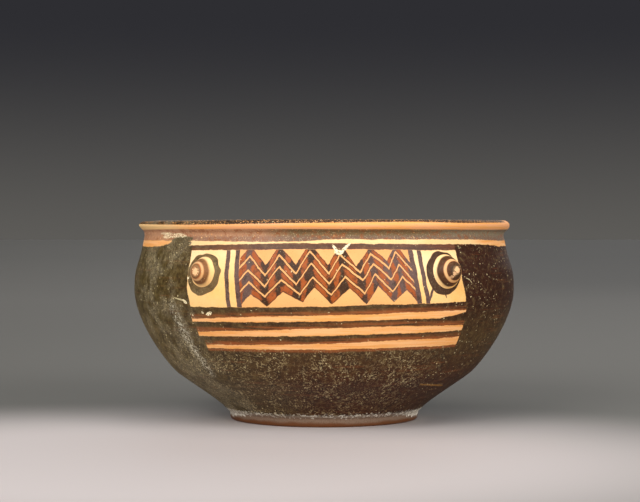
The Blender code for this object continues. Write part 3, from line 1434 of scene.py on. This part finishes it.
    def read_places(self) -> None:
        """Reads where a point is, in millimetres and from the nearer face, and the noises that all share."""
        sheet = self.sheet
        self.place = sheet.scaled(sheet.apply("ShaderNodeTexCoord", "Object"), MM)
        x, y, self.height = sheet.split(self.place)
        back = sheet.math("GREATER_THAN", y, 0.0)
        self.front = back.opposite()
        facing = 1.0 - back * 2.0
        depth = y.size()
        self.turned = sheet.joined(x * facing, depth * -1.0, self.height)
        side = sheet.math("ARCTAN2", x, depth) * math.degrees(1.0)
        self.azimuth = side * facing
        self.drawn_height, self.drawn_azimuth = self.height, self.azimuth
        for scale, detail, up, around in self.WAVERS:
            waver = self.noises(self.place, scale, detail)
            self.drawn_height = self.drawn_height + (waver[0] - 0.5) * up
            self.drawn_azimuth = self.drawn_azimuth + (waver[1] - 0.5) * around
        self.flat = sheet.joined(self.drawn_azimuth * self.MM_PER_DEGREE, self.drawn_height, 0.0)
        self.surface, self.level, self.crust = (self.carried(name) for name in ("surface", "level", "crust"))
        self.blotch = sheet.noise(self.place, *self.BLOTCH)
        self.grain = sheet.noise(self.place, *self.GRAIN)
        crumpling = sheet.joined(*self.noises(self.place, *self.CRUMPLE))
        self.crumpled = sheet.vector("ADD", self.place, crumpling)
        self.streak = sheet.noise(sheet.vector("MULTIPLY", self.place, self.STREAK_CELLS), 1.0, 3.0, 0.6)
        self.middling_streak = self.streak.rise(*self.MIDDLING)
        middle = Surface.OUTSIDE.value
        self.outside = self.surface.between(middle - 0.5, middle + 0.5, 0.05)
        self.side = side * self.outside.most(sheet.span(x, y).rise(*self.AXIS_FADE))

    def noises(self, place: Signal, scale: float, detail: float) -> tuple[Signal, Signal, Signal]:
        """Three unlike noises from one node."""
        node = self.sheet.node("ShaderNodeTexNoise", noise_dimensions="3D")
        return self.sheet.split(self.sheet.apply(node, "Color", Vector=place, Scale=scale, Detail=detail))

    def carried(self, name: str) -> Signal:
        """A number that the mesh carries on each point."""
        node = self.sheet.node("ShaderNodeAttribute", attribute_name=name)
        return self.sheet.apply(node, "Fac")

    def places(self, pixels: Sequence[Pixel]) -> list[tuple[float, float]]:
        """Azimuths and heights on the wall for pixels of the photograph."""
        return [self.camera.to_wall(pixel, self.form) for pixel in pixels]

    def level_line(self, pixels: Sequence[Pixel]) -> Signal:
        """The height of a painted line that runs round the wall."""
        return self.sheet.drawn(sorted(self.places(pixels)), self.drawn_azimuth)

    def upright_line(self, pixels: Sequence[Pixel]) -> Signal:
        """The azimuth of a painted line that runs up the wall."""
        line = sorted((height, azimuth) for azimuth, height in self.places(pixels))
        return self.sheet.drawn(line, self.drawn_height)

    def ringing_line(self, pixels: Sequence[Pixel]) -> Signal:
        """The height of a line that goes on round the bowl, and meets itself at the sides.

        Args:
            pixels: Where the line runs in the photograph.

        Returns:
            Its height in millimetres.
        """
        line = sorted(self.places(pixels))
        side = (line[0][1] + line[-1][1]) / 2
        return self.sheet.drawn([(-self.SIDE, side)] + line + [(self.SIDE, side)], self.drawn_azimuth)

    def above(self, value: Signal, line: Value) -> Signal:
        """1 where a length in millimetres is over another, with a soft edge."""
        return (value - line).rise(-self.EDGE, self.EDGE)

    def right_of(self, line: Value) -> Signal:
        """1 to the right of an azimuth, with a soft edge."""
        return ((self.drawn_azimuth - line) * self.MM_PER_DEGREE).rise(-self.EDGE, self.EDGE)

    def over_line(self, line: Value) -> Signal:
        """1 over a line's height on the wall, with a soft edge."""
        return self.above(self.drawn_height, line)

    def spanned(self, pixels: Sequence[Pixel]) -> Signal:
        """1 from the first of some pixels of the photograph to the last, from left to right."""
        (left, _), (right, _) = self.places((pixels[0], pixels[-1]))
        return self.right_of(left) * self.right_of(right).opposite()

    def scarred(self, scar: Scar, soft: float) -> Signal:
        """1 on a short stroke over the wall, which tapers to its ends.

        Args:
            scar: The stroke.
            soft: Half the width of its soft edge.

        Returns:
            How much of it there is, from 0 to 1.
        """
        sheet = self.sheet
        start, end = (
            Vector((azimuth * self.MM_PER_DEGREE, height, 0.0))
            for azimuth, height in self.places((scar.start, scar.end))
        )
        run = end - start
        from_start = sheet.vector("SUBTRACT", self.flat, start)
        share = (sheet.dot(from_start, run) / run.length_squared).least(1.0).most(0.0)
        nearest = sheet.scaled(sheet.joined(*run), share)
        from_line = sheet.length(sheet.vector("SUBTRACT", from_start, nearest))
        from_middle = share - 0.5
        away = from_line + from_middle * from_middle * (scar.width * self.SCAR_TAPER)
        return away.rise(scar.width / 2 + soft, scar.width / 2 - soft)

    def all_scars(self, scars: Sequence[Scar], soft: float = SCAR_EDGE) -> Signal:
        """1 on any of several short strokes on the front.

        Args:
            scars: The strokes.
            soft: Half the width of their soft edges.

        Returns:
            How much of it there is, from 0 to 1.
        """
        marks = self.scarred(scars[0], soft)
        for scar in scars[1:]:
            marks = marks.most(self.scarred(scar, soft))
        return marks * self.front

    def lay_slip(self) -> None:
        """Lays slip all over, and leaves the panel, the shoulder line, the bands and the lip bare."""
        sheet = self.sheet
        edges = (self.panel.field_left, self.panel.field_right)
        left, right = (self.right_of(self.upright_line(edge)) for edge in edges)
        across = left * right.opposite()
        top = self.over_line(self.level_line(self.panel.field_top))
        bottom = self.over_line(self.level_line(self.panel.field_bottom))
        self.field = across * top.opposite() * bottom * self.outside
        shoulder_edges = (self.SHOULDER_UPPER, self.SHOULDER_LOWER)
        upper, lower = (self.over_line(self.ringing_line(edge)) for edge in shoulder_edges)
        shoulder = upper.opposite() * lower * self.outside
        overlap = self.all_scars(self.OVERLAP, 1.0) + (self.grain - 0.5) * self.OVERLAP_GRAIN
        overlap = overlap.rise(0.40, 0.60)
        bare = self.field.most(shoulder * overlap.opposite())
        thin = self.streak.rise(0.55, 0.80) * 0.35
        for band in self.BANDS:
            within = self.spanned(band.upper) * self.outside
            upper_line, lower_line = self.level_line(band.upper), self.level_line(band.lower)
            over = self.over_line(upper_line)
            bare = bare.most(within * over.opposite() * self.over_line(lower_line))
            brushed_over = within * over * (self.drawn_height - upper_line).rise(*self.BRUSHED_OVER)
            thin = thin.most(brushed_over * self.streak.rise(0.30, 0.62))
        thin = thin.most(within * (lower_line - self.drawn_height).between(0.0, 0.9, 0.5) * 0.8)
        ragged = (self.grain - 0.5) * self.LIP_GRAIN
        side_end = (self.side + (self.blotch - 0.5) * 12.0).rise(*self.RIM_END)
        over_neck = self.above(self.level, sheet.drawn(self.LIP_UNDER, self.side))
        over_lip = self.above(self.level + ragged, sheet.drawn(self.LIP_DARK_FROM, self.side))
        self.rim = over_lip * side_end.opposite()
        self.lip = over_neck * self.rim.opposite() * self.outside
        self.neck = over_neck.opposite() * upper * overlap.opposite() * self.outside
        self.over_panel = top * upper.opposite() * shoulder.opposite() * across
        self.thin = thin.most(self.over_panel * (self.middling_streak * 0.30 + 0.03))
        self.cover = bare.most(self.lip).opposite()

    def paint_panel(self) -> None:
        """Brushes the upright lines and the zigzag on the bare panel."""
        sheet = self.sheet
        edge = self.EDGE
        uprights = [self.upright_line(pixels) for _, pixels in self.panel.upright_lines]
        self.middle = self.right_of(uprights[1]) * self.right_of(uprights[2]).opposite() * self.field
        strokes = self.all_scars(self.EXTRA_STROKES)
        for (width, _), line in zip(self.panel.upright_lines, uprights):
            away = ((self.drawn_azimuth - line) * self.MM_PER_DEGREE).size()
            strokes = strokes.most(away.rise(width / 2 + edge, width / 2 - edge))
        from_top = (self.level_line(self.panel.zigzag_top) - self.drawn_height) * self.LIMB_LEAN
        from_bottom = (self.drawn_height - self.level_line(self.panel.zigzag_bottom)) * self.LIMB_LEAN
        zigzag = self.spanned(self.panel.zigzag_span)
        zigzag = zigzag * from_top.rise(-edge, edge) * from_bottom.rise(-edge, edge)
        pooled = from_top.size().least(from_bottom.size())
        for width, pixels in self.panel.reserved_lines:
            away = (self.drawn_height - self.level_line(pixels)).size() * self.LIMB_LEAN
            zigzag = zigzag * away.rise(width / 2 - edge, width / 2 + edge)
            pooled = pooled.least((away - width / 2).size())
        patchy = (sheet.noise(self.place, *self.LIMB_PATCHES) - 0.5) * 1.8
        limb = self.limb_phase() + patchy + (self.grain - 0.5) * 0.6
        limb_thin = limb.rise(0.30, 0.62) * pooled.rise(0.08, 0.42)
        self.zigzag = zigzag * self.field
        strokes = strokes * self.field
        self.thin = sheet.blend(sheet.blend(self.thin, limb_thin, self.zigzag), 0.0, strokes)
        violet_ends = self.azimuth.rise(*self.VIOLET_RIGHT).most(self.azimuth.rise(*self.VIOLET_LEFT))
        self.violet = sheet.blend(self.zigzag * violet_ends, 1.0, strokes)
        self.cover = self.cover.most(self.zigzag).most(strokes)

    def limb_phase(self) -> Signal:
        """How far along a zigzag's limb a point is: 0 at a corner and 1 halfway between corners.

        Returns:
            The share of the way to the limb's middle.
        """
        corners = self.places(self.panel.reserved_lines[1][1])
        level = sum(height for _, height in corners) / len(corners)
        line = []
        for (start, _), (end, _) in zip(corners, corners[1:]):
            line += [(start, 0.0), ((start + end) / 2, 1.0)]
        line.append((corners[-1][0], 0.0))
        slant = (self.drawn_height - level) * self.drawn_azimuth.most(0.0) * self.CORNER_SLANT
        return self.sheet.drawn(line, self.drawn_azimuth + slant)

    def paint_knob(self, knob: Knob, strokes: KnobStrokes) -> None:
        """Rings a knob with slip, on the wall and on the knob.

        Args:
            knob: The knob.
            strokes: The slip round it.
        """
        sheet = self.sheet
        centre = knob.centre(self.form, knob.azimuth) * MM
        from_centre = sheet.vector("SUBTRACT", self.turned, centre)
        aside = sheet.dot(from_centre, knob.across())
        over = sheet.dot(from_centre, knob.upward())
        wobble = (self.noises(self.place, *self.RING_WOBBLE)[2] - 0.5) * strokes.raggedness
        outer = sheet.span(aside - strokes.shift[0], over - strokes.shift[1]) + wobble
        painted = sheet.span(aside - strokes.rings_shift[0], over - strokes.rings_shift[1])
        rings = painted / (knob.base_radius * MM) + wobble * 0.03
        on_wall = outer.rise(strokes.outer_radius + self.EDGE, strokes.outer_radius - self.EDGE)
        zone = rings.rise(1.01, 0.98) * self.outside
        painted_wall = self.cover.most(on_wall * self.field)
        self.cover = sheet.blend(painted_wall, sheet.drawn(strokes.rings, rings), zone)
        # Thin slip over the knob, and painted shade on its orange ring
        self.thin = sheet.blend(self.thin * on_wall.opposite(), sheet.drawn(strokes.wash_and_shade, rings), zone)
        self.violet = self.violet * on_wall.opposite()
        for right, up, radius, strength in strokes.chips:
            chipped = sheet.span(aside - right, over - up) + (self.grain - 0.5) * self.CHIP_GRAIN
            chip = chipped.rise(radius + 0.2, radius - 0.2) * zone * strength
            self.tips = chip.most(self.tips)

    def wear_slip(self) -> None:
        """Wears the slip off the lip's edge and the neck, in flecks."""
        flaked = self.flecks(1.5, self.rim * 0.45, 0.34).most(self.grain.rise(0.58, 0.64)) * self.rim
        speckled = self.flecks(1.1, self.side.rise(*self.NECK_SPECKS) * 0.5 + 0.15, 0.22) * self.neck
        for worn, share in ((flaked, 0.9), (speckled, 0.8)):
            self.cover = self.cover * (worn * share).opposite()

    def clay_colour(self) -> Signal:
        """Bare clay: cream in the panel, orange behind its zigzag and in the bands, rosy streaks on the lip,
        painted light on its left end.

        Returns:
            The colour.
        """
        sheet = self.sheet
        tones = self.tones
        warm = self.blotch.rise(0.35, 0.70)
        lower = self.height.rise(*self.PANEL_WARM) * 0.55 + warm * 0.45
        panel = sheet.mix(tones.panel_clay, tones.panel_clay_warm, lower)
        ground = sheet.mix(tones.zigzag_clay_low, tones.zigzag_clay, self.height.rise(*self.ZIGZAG_WARM))
        panel = sheet.mix(panel, ground, self.middle * (1.0 - warm * 0.15))
        band = sheet.mix(tones.band_clay, tones.lip_clay, self.middling_streak)
        shoulder = self.height.between(*self.SHOULDER)
        cream = self.field.most(shoulder * self.side.size().rise(*self.CREAM_SHOULDER)) - shoulder * 0.25
        return sheet.coats(
            band,
            # Painted light: the lip's left end is lightened with cream and the highlight tone
            (panel, cream.most(self.lip * self.side.rise(*self.LIP_PAINTED_LIGHT))),
            (tones.rosy_clay, self.middling_streak * self.lip * 0.6),
            (tones.lip_painted_highlight, self.lip * self.side.rise(*self.LIP_PAINTED_HIGHLIGHT) * 0.8),
            (tones.thin_brown, self.grain.rise(0.40, 0.30) * 0.35),
        )

    def slip_colour(self) -> Signal:
        """The slip: olive at the left, brown in the middle and reddish at the right, thin or thick.

        Returns:
            The colour.
        """
        sheet = self.sheet
        tones = self.tones
        side = self.side
        mottle = sheet.noise(self.place, *self.MOTTLE)
        dark = sheet.mix(tones.stroke_olive, tones.stroke_dark, self.azimuth.rise(*self.DARK_STROKES))
        thick = sheet.coats(
            tones.slip_left,
            (tones.slip_middle, side.rise(*self.MIDDLE_SLIP)),
            (tones.slip_low, self.height.rise(*self.LOW_BROWN) * side.rise(*self.LOW_SLIP)),
            (tones.slip_right, side.rise(*self.RIGHT_SLIP) * self.height.rise(*self.RIGHT_RED)),
            # Painted light: pale slip low on the left, where the light from the floor falls
            (tones.slip_pale, side.rise(*self.LIT_SLIP) * self.height.rise(*self.LIT_LOW) * 0.50),
            (tones.slip_dark, mottle.rise(*self.DARK_SPOTS) * 0.65),
            (tones.slip_pale, mottle.rise(*self.PALE_SPOTS) * 0.40),
            (dark, self.field),
            (tones.stroke_brown, self.zigzag * 0.6),
            (tones.stroke_violet, self.violet.most(self.over_panel * 0.45) * 0.8),
            (tones.slip_dark, mottle.rise(*self.STROKE_SPOTS) * self.field * 0.6),
            (tones.fleck, self.grain.rise(0.60, 0.76) * self.field * 0.3),
            (tones.rim_dark, self.rim * 0.85),
        )
        thinned = sheet.coats(
            tones.thin_brown,
            (tones.thin_orange, self.field.most(self.blotch.rise(0.5, 0.7) * 0.4)),
            (tones.stroke_dark, mottle.rise(0.50, 0.34) * self.field * 0.6),
        )
        neck = sheet.coats(
            tones.neck_rosy,
            (tones.neck_olive, (side + (self.blotch - 0.5) * 60.0).rise(*self.NECK_OLIVE)),
            (tones.neck_grey, side.rise(*self.NECK_GREY)),
            (tones.neck_shade, self.level.rise(*self.NECK_SHADE_LEVELS) * side.rise(*self.NECK_SHADE) * 0.6),
            (tones.thin_brown, mottle.rise(*self.DARK_SPOTS) * 0.7),
            (tones.fleck, self.grain.rise(0.55, 0.72) * 0.55),
        )
        return sheet.coats(thick, (thinned, self.thin), (neck, self.neck))

    def scar_front(self, colour: Signal) -> Signal:
        """Chips and scratches on the front show pale clay.

        Args:
            colour: The colour without them.

        Returns:
            The colour with them.
        """
        marks = (
            (self.PALE_CHIPS, self.tones.chip, self.grain.rise(0.40, 0.48)),
            (self.WORN_PATCH, self.tones.chip, self.grain.rise(0.47, 0.52)),
            (self.HAIR_SCRATCHES, self.tones.fleck, 0.7),
            (self.GOLD_SCRATCH, self.tones.gold, self.grain * 0.8 + 0.2),
        )
        for scars, shown, strength in marks:
            colour = self.sheet.mix(colour, shown, self.all_scars(scars) * self.outside * strength)
        return self.sheet.mix(colour, self.tones.tip, self.tips)

    def flecks(self, scale: float, density: Signal, size: float) -> Signal:
        """Small uneven flecks.

        Args:
            scale: Cells per millimetre, each with at most one fleck.
            density: The share of cells that have one.
            size: The radius of the largest, as a share of a cell.

        Returns:
            1 on a fleck.
        """
        sheet = self.sheet
        node = sheet.node("ShaderNodeTexVoronoi")
        away = sheet.apply(node, "Distance", Vector=self.crumpled, Scale=scale)
        chance, bulk, _ = sheet.split(Signal(sheet, node.outputs["Color"]))
        fleck = (bulk * size + 0.06 - away).rise(-0.04, 0.06)
        return fleck * (density - chance).rise(0.0, 0.04)

    def hairs(self, scale: float, shift: float, weight: float = 1.0) -> Signal:
        """Short fine curved lines.

        Args:
            scale: How close they lie, in cells per millimetre.
            shift: How far the pattern is moved, so that two sets differ.
            weight: How thick they are.

        Returns:
            1 on a line.
        """
        sheet = self.sheet
        place = sheet.vector("ADD", self.place, (shift, -shift, shift))
        wave = sheet.noise(place, scale, 0.5)
        broken = sheet.noise(place, scale * 1.25, 1.0).rise(0.50, 0.55)
        return (wave - 0.5).size().rise(0.060 * scale * weight, 0.025 * scale * weight) * broken

    def age(self, colour: Signal) -> Signal:
        """Dust and painted sheen at the left, hair lines thickest low on the left, a streak of lime and pale
        flecks.

        Args:
            colour: The colour without them.

        Returns:
            The colour with them.
        """
        sheet = self.sheet
        tones = self.tones
        clumps = sheet.noise(self.place, *self.CLUMPS).rise(0.38, 0.60)
        left_side = self.side.rise(*self.LEFT_WEAR)
        right_side = self.side.rise(*self.RIGHT_WEAR)
        strewn = self.all_scars(self.LIME_STREAK, self.LIME_SOFT) * self.height.rise(*self.LIME_HEIGHTS)
        on_slip = self.cover * self.outside * self.neck.opposite()
        haze_and_sheen = left_side * self.side.rise(*self.LEFT_HAZE_AND_SHEEN) * clumps * self.grain.rise(*self.MIDDLING)
        thick = self.height.rise(*self.LOW_HAIRS) * right_side.opposite() * (clumps * 0.8 + 0.2)
        curled = self.hairs(*self.CURLED_HAIRS)
        short = self.hairs(*self.SHORT_HAIRS)
        hairs = curled.most(short * 0.8) * (thick * 0.80 + left_side * clumps * 0.35 + 0.08).least(0.85)
        strokes = self.hairs(*self.LIME_STROKES)
        lime = strokes.most(curled).most(short).most(self.flecks(1.3, strewn * 0.8, 0.30)) * strewn
        density = thick * 0.24 + left_side * clumps * 0.55 + right_side * clumps * 0.40 + 0.10
        return sheet.coats(
            colour,
            # Greyish film at the left: partly real dusting, partly painted sheen where the light falls
            (tones.dust_and_sheen, haze_and_sheen * on_slip * 0.60),
            (tones.hair, hairs * on_slip),
            (tones.lime, lime * on_slip * 0.9),
            (tones.fleck, self.flecks(1.05, density, 0.24) * on_slip * 0.8),
        )

    def colour_foot(self, colour: Signal) -> Signal:
        """The foot's side, its crust and the bare underside.

        Args:
            colour: The colour of the rest.

        Returns:
            The colour of all.
        """
        sheet = self.sheet
        tones = self.tones
        top = self.form.foot_top * MM
        side = sheet.coats(
            tones.foot,
            (tones.foot_low, (self.height + (self.blotch - 0.5) * 2.4).rise(*self.FOOT_LOW)),
            (tones.slip_middle, self.grain.rise(0.55, 0.35) * 0.4),
        )
        ends = self.side.size().rise(*self.FOOT_ENDS)
        reach = (self.height - top + ends * 0.9).size() - ends * 0.9
        specks = (sheet.noise(self.place, *self.SPECKLE) - reach.most(0.0) * 0.08).rise(0.50, 0.56)
        crust = (specks * 0.95 + reach.rise(0.8, 0.2) * (ends * 0.25 + 0.18)).least(0.95)
        crust = crust * reach.rise(1.5, 0.8) * self.outside
        strength = (ends * 0.45 + self.blotch.rise(0.35, 0.60) * 0.3 + 0.5).least(1.0)
        outer = Surface.OUTSIDE.value
        return sheet.coats(
            colour,
            (side, self.height.rise(top + 0.3, top - 0.5) * self.outside),
            (tones.crust, crust * strength),
            (
                sheet.mix(tones.underside, tones.foot, self.blotch.rise(0.4, 0.7) * 0.6),
                self.surface.rise(outer + 0.4, outer + 0.6),
            ),
        )

    def roughness(self) -> Signal:
        """Slip has a soft gloss, clay and crust are dull.

        Returns:
            The roughness from 0 to 1.
        """
        slip = 0.50 - self.streak * 0.10 + self.grain * 0.14
        dull = self.sheet.blend(self.DULL, slip, self.cover)
        return self.sheet.blend(dull, self.CRUST_ROUGHNESS, self.crust)

    def relief(self) -> Signal:
        """Fine brush streaks and grain, as bump.

        Returns:
            The surface's direction.
        """
        fine = self.sheet.noise(self.place, *self.FINE)
        turned = self.sheet.noise(self.sheet.vector("MULTIPLY", self.place, self.TURNING_CELLS), 0.9, 2.0)
        height = fine * 0.6 + turned * 0.7
        strength, distance = self.BUMP
        return self.sheet.apply("ShaderNodeBump", Height=height, Strength=strength, Distance=distance)


def main() -> None:
    """Builds the bowl, the camera and the stage round the frame."""
    logging.basicConfig(level=logging.INFO, format="%(message)s")
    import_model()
    bpy.context.scene.view_settings.view_transform = "Standard"
    camera = PhotoCamera()
    camera.build()
    form = TurnedForm()
    knobs = (
        Knob(azimuth=-36.2, base_radius=0.0056, reach=0.0049),
        Knob(azimuth=36.7, base_radius=0.0063, reach=0.0054),
    )
    finish = PaintedClay(camera, form, knobs).build()
    bowl = Bowl(form, knobs, HandWork()).build(finish)
    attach(bowl, BODY)
    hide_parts(NODE)
    LOG.info("piece %s: %d faces, for node %s", bowl.name, len(bowl.data.polygons), NODE)
    floor = Stage().build()
    LOG.info("stage %s, with a camera and four lights", floor.name)


if __name__ == "__main__":
    main()
